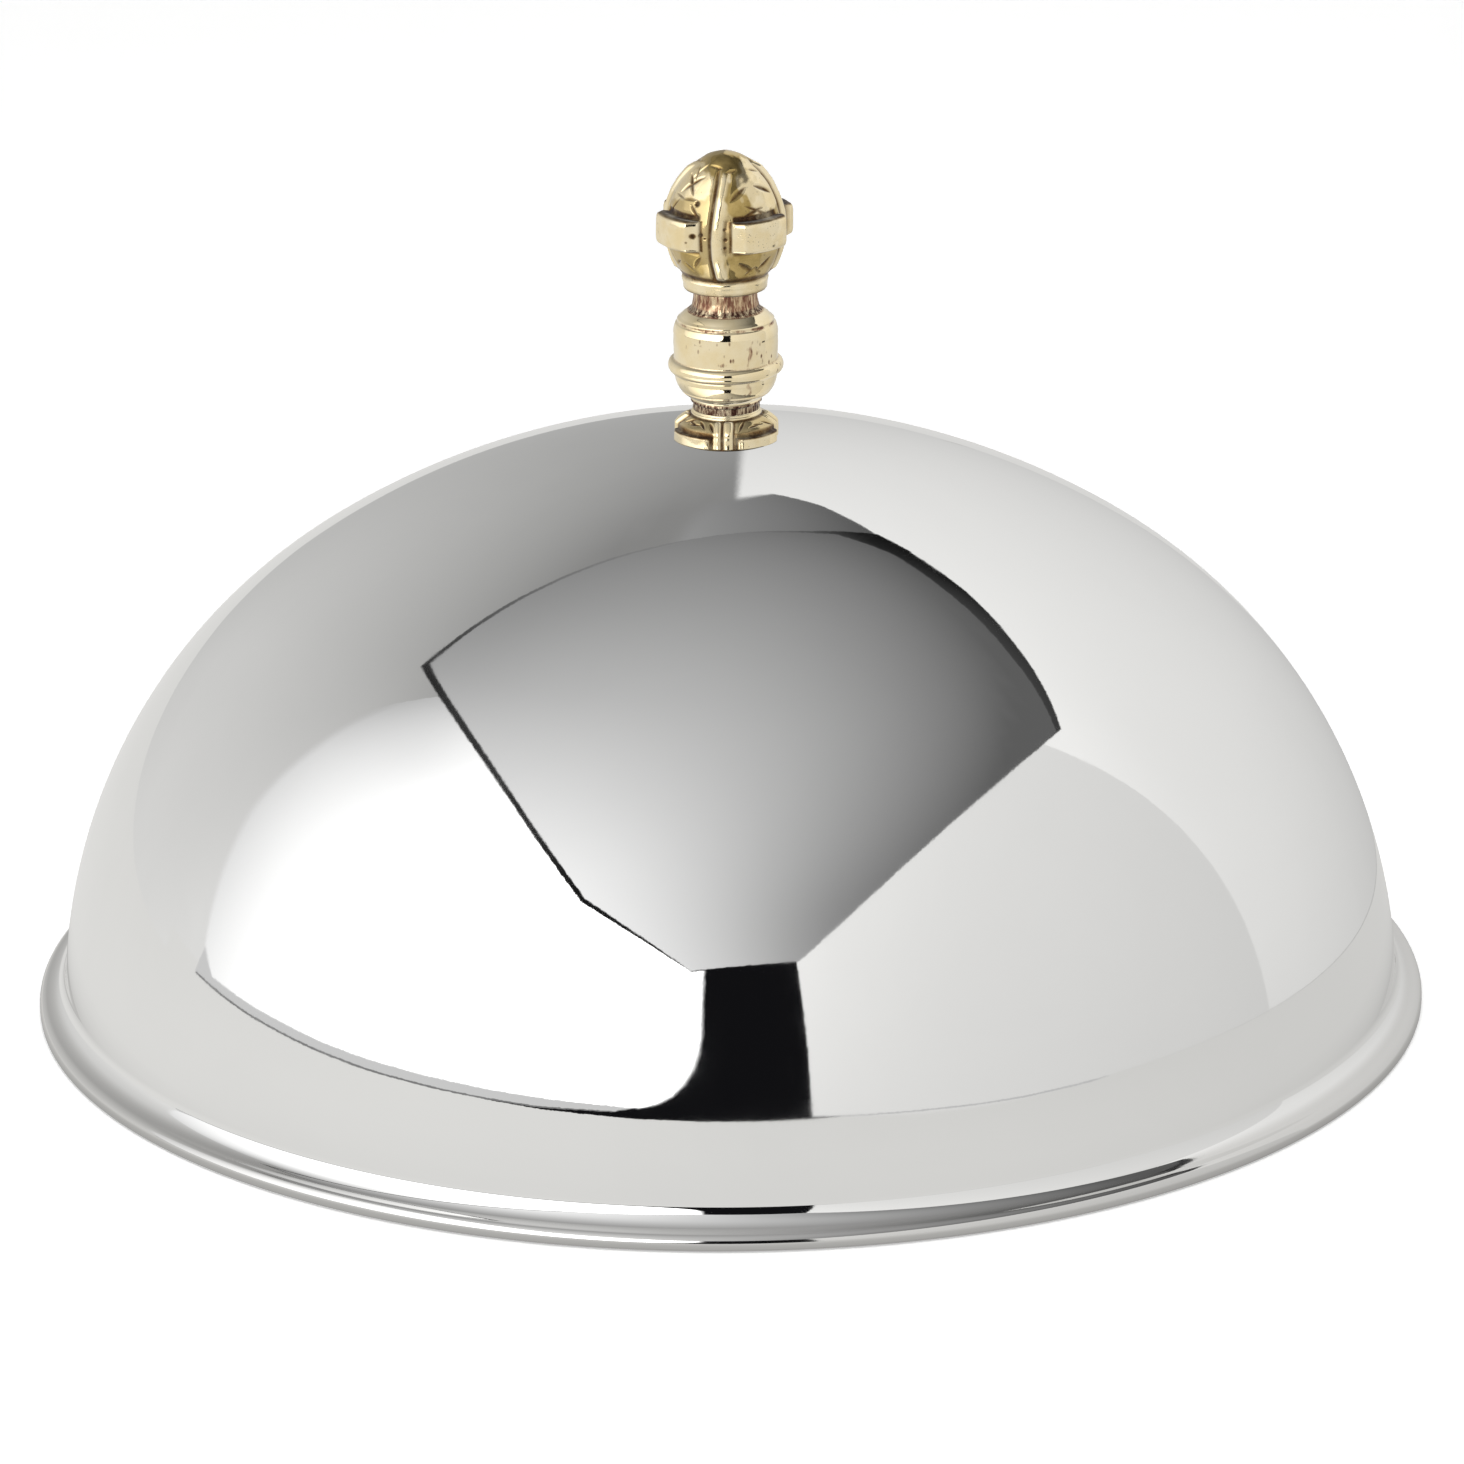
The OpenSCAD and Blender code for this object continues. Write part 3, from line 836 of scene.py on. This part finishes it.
def build_cap_nut():
    """A domed cap nut, its hexagon chamfered at both ends and its round end downwards."""
    low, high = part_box("cap_nut")
    top, bottom = high.z / MM, low.z / MM
    half_flat = high.y / MM
    round_r = 3.75
    hex_low = top - 4.0
    hole_top = top - 7.5
    profile = [(0, hole_top), (1.5, hole_top), (STUD_R, hole_top)]
    profile += line((STUD_R, hole_top), (STUD_R, top - 0.3), 3)
    profile += [(STUD_R, top - 0.3), (STUD_R + 0.3, top), (half_flat - 0.4, top)]
    first = len(profile)
    corner = half_flat / math.cos(math.radians(30))
    profile += [(corner, z) for z in np.linspace(top, hex_low, 25)]
    last = len(profile)
    profile += [(round_r + 0.12, hex_low - 0.02), (round_r, hex_low - 0.12)]
    profile += line((round_r, hex_low - 0.12), (round_r, bottom + round_r), 3)
    profile += arc(0, bottom + round_r, round_r, 0, -90, 22)
    profile = np.array(profile)
    points = lathe_points(profile, 192)
    angles = np.arange(192) * 360 / 192
    flat = half_flat / np.cos(np.radians(angles % 60 - 30))
    for row in range(first, last):
        z = profile[row, 1]
        cone = min(top - z, z - hex_low) / math.tan(math.radians(30)) + half_flat - 0.12
        radius = np.minimum(flat, cone)
        points[row, :, 0] = radius * np.cos(np.radians(angles))
        points[row, :, 1] = radius * np.sin(np.radians(angles))
    piece = lathe_mesh("cap_nut_body", points[::-1] * MM, False, [NICKEL])
    settle(piece, "cap_nut")


def build_stud():
    """The threaded rod: a helical thread with chamfered ends."""
    low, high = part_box("stud")
    bottom, top = low.z / MM, high.z / MM
    pitch, depth, columns = 0.8, 0.45, 40
    heights = np.arange(bottom, top, pitch / 8)
    heights = np.append(heights, top)
    profile = [(0, bottom)] + [(STUD_R, z) for z in heights] + [(0, top)]
    points = lathe_points(np.array(profile), columns)
    turn = np.arange(columns) / columns
    z = points[..., 2]
    phase = (z / pitch - turn) % 1
    thread = STUD_R - depth * np.clip(2.4 * np.abs(phase - 0.5) - 0.15, 0, 1)
    chamfer = np.minimum(z - bottom, top - z) + STUD_R - 0.6
    radius = np.minimum(thread, chamfer)
    radius[0] = radius[-1] = 0
    points[..., 0] = radius * np.cos(turn * TURN)
    points[..., 1] = radius * np.sin(turn * TURN)
    piece = lathe_mesh("threaded_stud", points * MM, False, [ZINC])
    settle(piece, "stud")
    piece.visible_glossy = False


build_backing_washer()
build_lock_washer()
build_cap_nut()
build_stud()


# ---------------------------------------------------------------- the studio

def glow_material(name, tint):
    """Light whose brightness and cover come from the card's own vertices."""
    material = bpy.data.materials.new(name)
    material.use_nodes = True
    tree = material.node_tree
    tree.nodes.clear()
    output = tree.nodes.new("ShaderNodeOutputMaterial")
    blend = tree.nodes.new("ShaderNodeMixShader")
    clear = tree.nodes.new("ShaderNodeBsdfTransparent")
    emission = tree.nodes.new("ShaderNodeEmission")
    emission.inputs["Color"].default_value = (*tint, 1)
    for key, target in (("glow", emission.inputs["Strength"]), ("cover", blend.inputs["Fac"])):
        reading = tree.nodes.new("ShaderNodeAttribute")
        reading.attribute_name = key
        tree.links.new(reading.outputs["Fac"], target)
    tree.links.new(clear.outputs[0], blend.inputs[1])
    tree.links.new(emission.outputs[0], blend.inputs[2])
    tree.links.new(blend.outputs[0], output.inputs[0])
    return material


def only_reflected(board):
    """Lets the object reflect a lit board that is never seen itself."""
    for ray in ("camera", "diffuse", "shadow"):
        setattr(board, "visible_" + ray, False)


def glow_board(name, rows, glows, covers, closed, tint=(1, 1, 1)):
    """A lit board from a grid of points with a brightness and a cover for each."""
    count, across = rows.shape[:2]
    index = np.arange(count * across).reshape(count, across)
    beside = np.roll(index, -1, axis=1) if closed else index[:, 1:]
    index = index if closed else index[:, :-1]
    faces = np.stack([index[:-1], beside[:-1], beside[1:], index[1:]], axis=-1).reshape(-1, 4)
    mesh = bpy.data.meshes.new(name)
    mesh.from_pydata(rows.reshape(-1, 3).tolist(), [], faces.tolist())
    add_values(mesh, {"glow": glows, "cover": covers})
    mesh.materials.append(glow_material(name, tint))
    board = add_object(name, mesh)
    only_reflected(board)
    return board


def thin_plate(a, b):
    """How much a sheet through the points b bends at each of the points a."""
    square = ((a[:, None] - b[None]) ** 2).sum(axis=-1)
    return square * np.log(square + 1e-9)


def blended(points, readings, ease=0.06):
    """Brightness at flat points: a smooth sheet laid near readings of (x, y, brightness)."""
    readings = np.array(readings, float)
    spots, levels = readings[:, :2], readings[:, 2]
    if len(spots) < 4:
        return np.full(points.shape[:-1], levels.mean())
    flat = np.column_stack([np.ones(len(spots)), spots])
    corner = np.zeros((3, 3))
    system = np.block([[thin_plate(spots, spots) + ease * np.eye(len(spots)), flat], [flat.T, corner]])
    weights = np.linalg.lstsq(system, np.append(levels, np.zeros(3)), rcond=None)[0]
    asked = points.reshape(-1, 2)
    sheet = thin_plate(asked, spots) @ weights[:-3]
    sheet = sheet + np.column_stack([np.ones(len(asked)), asked]) @ weights[-3:]
    return np.clip(sheet, 0.8 * levels.min(), 1.15 * levels.max()).reshape(points.shape[:-1])


def card(name, to_frame, corners, readings, fades=0.0, tint=(1, 1, 1)):
    """A flat lit card of the photographer's tent, given in its own flat coordinates. Corners
    run round it, each with the width over which its edge fades out."""
    corners = np.array(corners, float)
    fades = np.broadcast_to(np.array(fades, float), (len(corners),))
    shares = np.linspace(0, 1, 9)[:-1]
    edge = np.concatenate([a + (b - a) * shares[:, None]
                           for a, b in zip(corners, np.roll(corners, -1, axis=0))])
    widths = np.concatenate([a + (b - a) * shares for a, b in zip(fades, np.roll(fades, -1))])
    middle = corners.mean(axis=0)
    outward = (edge - middle) / np.linalg.norm(edge - middle, axis=1, keepdims=True)
    rows = [middle + (edge - middle) * share for share in np.linspace(0, 1, 14)]
    covers = [np.ones(len(edge))] * len(rows)
    for share in (0.2, 0.4, 0.6, 0.8, 1.0):
        rows.append(edge + outward * (widths * share)[:, None])
        covers.append(np.full(len(edge), 1 - smooth(share)))
    rows = np.array(rows)
    glows = blended(rows, readings)
    solid = np.array([[to_frame(x, y) for x, y in row] for row in rows])
    return glow_board(name, solid, glows, np.array(covers), True, tint)


def upright(bearing, distance):
    """A function from (along, height) on an upright wall to a point in the frame."""
    a = math.radians(bearing)
    out = np.array([math.sin(a), -math.cos(a), 0]) * distance
    along = np.array([math.cos(a), math.sin(a), 0])
    return lambda u, v: out + along * u + np.array([0, 0, v])


def level(z):
    """A function from (x, y) to a point on a level card."""
    return lambda x, y: np.array([x, y, z])


WARM_WHITE = (1.0, 0.996, 0.982)
TABLE_WHITE = (1.0, 0.994, 0.972)
# A brightness is placed at a few round spots of each card, and the card runs smoothly between them.
CEILING_Z = 1.5
CEILING = [(-1, 0.72), (0, 1.09), (0.33, 1.2), (0.5, 1.13), (1.3, 0.3), (1, -0.6), (0.5, -2.15),
           (-0.3, -2.3), (-0.8, -1.3), (-0.92, 0)]
CEILING_GLOW = [(-0.6, -1, 0.9), (-0.7, 0.7, 0.35), (0, 0, 0.5), (0, 1, 0.25), (0.5, 1, 0.15),
                (1, 0, 0.15), (0.5, -1.5, 0.35)]
CEILING_RIM = [(-1.05, 0.75), (0, 1.1), (0.25, 1.2), (0.46, 1.33), (0.76, 1.03), (1.33, 0.34),
               (1, -0.6), (0.5, -2.15), (-0.3, -2.34), (-0.84, -1.34), (-0.96, 0)]
RIM_GLOW = [(-1, 0.7, 0.03), (-0.4, 1, 0.2), (0.1, 1.1, 0.2), (0.35, 1.2, 0.03), (0.8, 1, 0.02),
            (0, -2.3, 0.01)]
SHADE = [(-0.12, 1.04), (0, 1.5), (0.15, 1.72), (0.3, 1.6), (0.46, 1.33), (0.57, 1.25), (0.6, 1)]
SHADE_FADES = [0.1, 0.1, 0.03, 0.012, 0.012, 0.012, 0.01]
SHADE_GLOW = [(0, 1.2, 0.27), (0.2, 1.6, 0.18), (0.2, 1.3, 0.2), (0.5, 1.25, 0.08)]
EDGE_FADE = 0.012

SOFTBOX_BEARING = -65
SOFTBOX_AWAY = 1.5
SOFTBOX_ROUND = arc(1.6, 1.1, 0.9, -90, 0, 8)
SOFTBOX_GLOW = [(-1, 0.5, 1), (-1.5, 1.5, 0.8), (-1.5, 3, 0.7), (-0.8, 2, 1), (0, 1, 1.7),
                (1, 1, 2.3), (1, 3, 2.3)]
RIGHT_WALL_BEARING = 72


def build_softbox():
    """The big soft box at the left, its one lower corner round, over a greyer border and frame."""
    outline = [(-0.9, 0.1), (0.2, 0.13)] + SOFTBOX_ROUND
    outline += [(2.5, 3.4), (-0.4, 4.2), (-2.1, 4.2), (-1.66, 2.1), (-1.37, 0.9), (-1.04, 0.2)]
    fades = [0.01, 0.01] + list(np.linspace(0.01, 0.15, len(SOFTBOX_ROUND)))
    fades += [0.15, 0.1, 0.6, 0.2, 0.12, 0.04]
    card("left_softbox", upright(SOFTBOX_BEARING, SOFTBOX_AWAY), outline, SOFTBOX_GLOW, fades)
    border = [(-1.1, 0.06), (0.2, 0.085), (1, 0.115), (1.6, 0.16), (1.9, 0.24), (1, 0.5), (-1, 0.5)]
    card("softbox_border", upright(SOFTBOX_BEARING, SOFTBOX_AWAY + 0.03), border, [(0, 0, 0.65)], 0.004)
    frame_line = [(u, v - 0.009) for u, v in border]
    card("softbox_frame", upright(SOFTBOX_BEARING, SOFTBOX_AWAY + 0.04), frame_line, [(0, 0, 0.22)], 0.004)


def build_tent():
    """The photographer's tent: a grey ceiling with dark edges, a soft box and pale walls."""
    card("ceiling", level(CEILING_Z), CEILING, CEILING_GLOW, EDGE_FADE)
    card("ceiling_rim", level(CEILING_Z + 0.01), CEILING_RIM, RIM_GLOW, EDGE_FADE)
    card("ceiling_shade", level(CEILING_Z + 0.02), SHADE, SHADE_GLOW, SHADE_FADES)
    build_softbox()

    card("right_wall", upright(RIGHT_WALL_BEARING, 1.5),
         [(-2.52, 0.17), (-1.3, 0.08), (-0.25, 0), (0.1, -0.4), (0.76, -0.5), (0.735, 3.4), (-2.52, 3.4)],
         [(-2.3, 1, 0.9), (-0.6, 1, 0.8), (0.6, 1, 0.75), (0.5, 0, 0.7)],
         [0.01, 0.05, 0, 0, 0, 0, 0], WARM_WHITE)
    card("wall_joint", upright(99.5, 3.4), [(-0.3, -1.2), (0.3, -1.2), (0.3, 4.5), (-0.3, 4.5)],
         [(-0.3, 0, 0.65), (0.3, 0, 0.65), (0, 1.6, 0.4), (0, 4, 0.05)])
    skirting = [(-2.5, 0.172), (-1.3, 0.082), (-0.25, 0.002), (-0.25, -0.006), (-1.3, 0.072), (-2.5, 0.162)]
    card("right_skirting", upright(RIGHT_WALL_BEARING, 1.49), skirting, [(0, 0, 0.55)])
    card("back_right_wall", upright(145, 2), [(-2.02, -1.8), (1.7, -1.8), (1.7, 3.4), (-2.02, 3.4)],
         [(-1.2, 1.5, 0.85), (1, 1, 0.8), (-1.2, 0.2, 0.8), (0, 0, 0.7), (0.8, -0.6, 0.55)], 0, WARM_WHITE)
    card("back_left_wall", upright(-150, 1.98), [(-1.17, 0), (3.2, 0), (3.2, 4.4), (-1.17, 4.4)],
         [(-0.9, 1.6, 0.33), (0.3, 2.3, 0.4), (1, 0.5, 0.7), (0.2, 0.4, 0.67), (-0.8, 0.2, 0.45)],
         [0.05, 0.12, 0, 0.05], WARM_WHITE)


TABLE_FAR = 2.55
TABLE_NEAR = 0.19
TABLE_NEAR_BEARING = 130


def table_reach(bearings):
    """How far the table reaches from the cover's axis: least at its near edge, on the right, and
    from there growing slowly to the front and quickly to the back."""
    facing = np.cos(np.radians(bearings - TABLE_NEAR_BEARING))
    power = np.where(bearings < TABLE_NEAR_BEARING, 2.3, 8)
    return np.minimum(TABLE_NEAR / np.maximum(facing, 0.05) ** power, TABLE_FAR)


def build_bright_floor():
    """What the polished metal sees of the table, with a painted contact shadow right at the cover's edge:
    cut short at the right, and turned up at the far side into a low skirting."""
    edge = RIM_R * MM
    turns = np.linspace(0, TURN, 181)
    bearings = np.degrees(turns)
    reach = table_reach(bearings)
    far = reach.max()
    out = edge + np.array([-0.03, 0.0, 0.0015, 0.004, 0.007, 0.012, 0.02, 0.03, 0.05, 0.15, 0.5, 1.0, 1.6])
    # painted contact shadow: the table's reflection is darker in the rings nearest the cover's edge
    dim = [0.4, 0.6, 0.72, 0.82, 0.88, 0.93, 0.97, 0.98, 0.99] + [1] * 8
    seam = 0.014 * reach
    radii = np.minimum(out[:, None], reach - 1.1 * seam)
    radii = np.vstack([radii, reach - 1.05 * seam, reach - seam, reach, reach])
    heights = np.full(radii.shape, -0.0001)
    heights[-1] = np.where(reach < far, heights[-1], 0.13)
    rows = np.stack([radii * np.sin(turns), -radii * np.cos(turns), heights], axis=-1)
    glows = np.outer(dim, 0.74 + 0.06 * np.cos(np.radians(bearings + 70)))
    glows[-3:-1] *= np.where(reach < far, 0.72, 1)
    glow_board("table_glow", rows, glows, np.ones_like(glows), False, TABLE_WHITE)


build_tent()
build_bright_floor()


def build_floor():
    """The plain pale table that the camera sees."""
    side = 9.0
    mesh = bpy.data.meshes.new("floor")
    corners = [(-side, -side, 0), (side, -side, 0), (side, side, 0), (-side, side, 0)]
    mesh.from_pydata(corners, [], [(0, 1, 2, 3)])
    n = Nodes("floor_paint")
    n.shader.inputs["Emission Color"].default_value = (1, 1, 1, 1)
    n.shader.inputs["Emission Strength"].default_value = 0.42
    n.shader.inputs["Specular IOR Level"].default_value = 0.1
    mesh.materials.append(n.finish((0.86, 0.86, 0.855), 0.7, None, 0.0))
    floor = add_object("floor", mesh)
    floor.location.z = -0.0003
    floor.visible_glossy = False


def build_backdrop():
    """A plain white surround, far off, that only the camera sees."""
    turns = np.linspace(0, TURN, 49)
    tilts = np.linspace(-0.5 * math.pi, 0.5 * math.pi, 25)
    radius = 12
    rows = radius * np.stack([np.outer(np.cos(tilts), np.cos(turns)), np.outer(np.cos(tilts), np.sin(turns)),
                              np.outer(np.sin(tilts), np.ones_like(turns))], axis=-1)
    ones = np.ones(rows.shape[:2])
    backdrop = glow_board("backdrop", rows, ones, ones, False)
    backdrop.visible_camera = True
    backdrop.visible_glossy = False


def build_lamp():
    """Soft light from above that fills the table; polished metal doesn't show it."""
    data = bpy.data.lights.new("overhead_lamp", "AREA")
    data.shape = "SQUARE"
    data.size = 3.0
    data.energy = 70
    lamp = add_object("overhead_lamp", data)
    lamp.location = (0, 0, 2.6)
    lamp.visible_glossy = False
    lamp.visible_camera = False


build_floor()
build_backdrop()
build_lamp()

world = bpy.data.worlds.new("dark_studio")
world.use_nodes = True
world.node_tree.nodes["Background"].inputs["Color"].default_value = (0.006, 0.006, 0.007, 1)
bpy.context.scene.world = world
bpy.context.scene.view_settings.view_transform = "Standard"


# ---------------------------------------------------------------- the camera

CAMERA_ELEVATION = math.radians(19)
CAMERA_ROLL = math.radians(0.44)
CAMERA_DISTANCE = 1.6
CAMERA_PIVOT = Vector((0, 0, 0.06))
CAMERA_TARGET = Vector((0.0007, 0, 0.0575))
LENS_MM = 182.7
SENSOR_MM = 36


def build_camera():
    """Looks a little down on the cover from the front, the object's top leaning slightly left."""
    back = Vector((0, -math.cos(CAMERA_ELEVATION), math.sin(CAMERA_ELEVATION)))
    data = bpy.data.cameras.new("camera")
    data.sensor_width = SENSOR_MM
    data.lens = LENS_MM
    camera = add_object("camera", data)
    camera.location = CAMERA_PIVOT + back * CAMERA_DISTANCE
    aim = (CAMERA_TARGET - camera.location).to_track_quat("-Z", "Y")
    camera.rotation_mode = "QUATERNION"
    camera.rotation_quaternion = aim @ Quaternion((0, 0, 1), -CAMERA_ROLL)
    bpy.context.scene.camera = camera


build_camera()
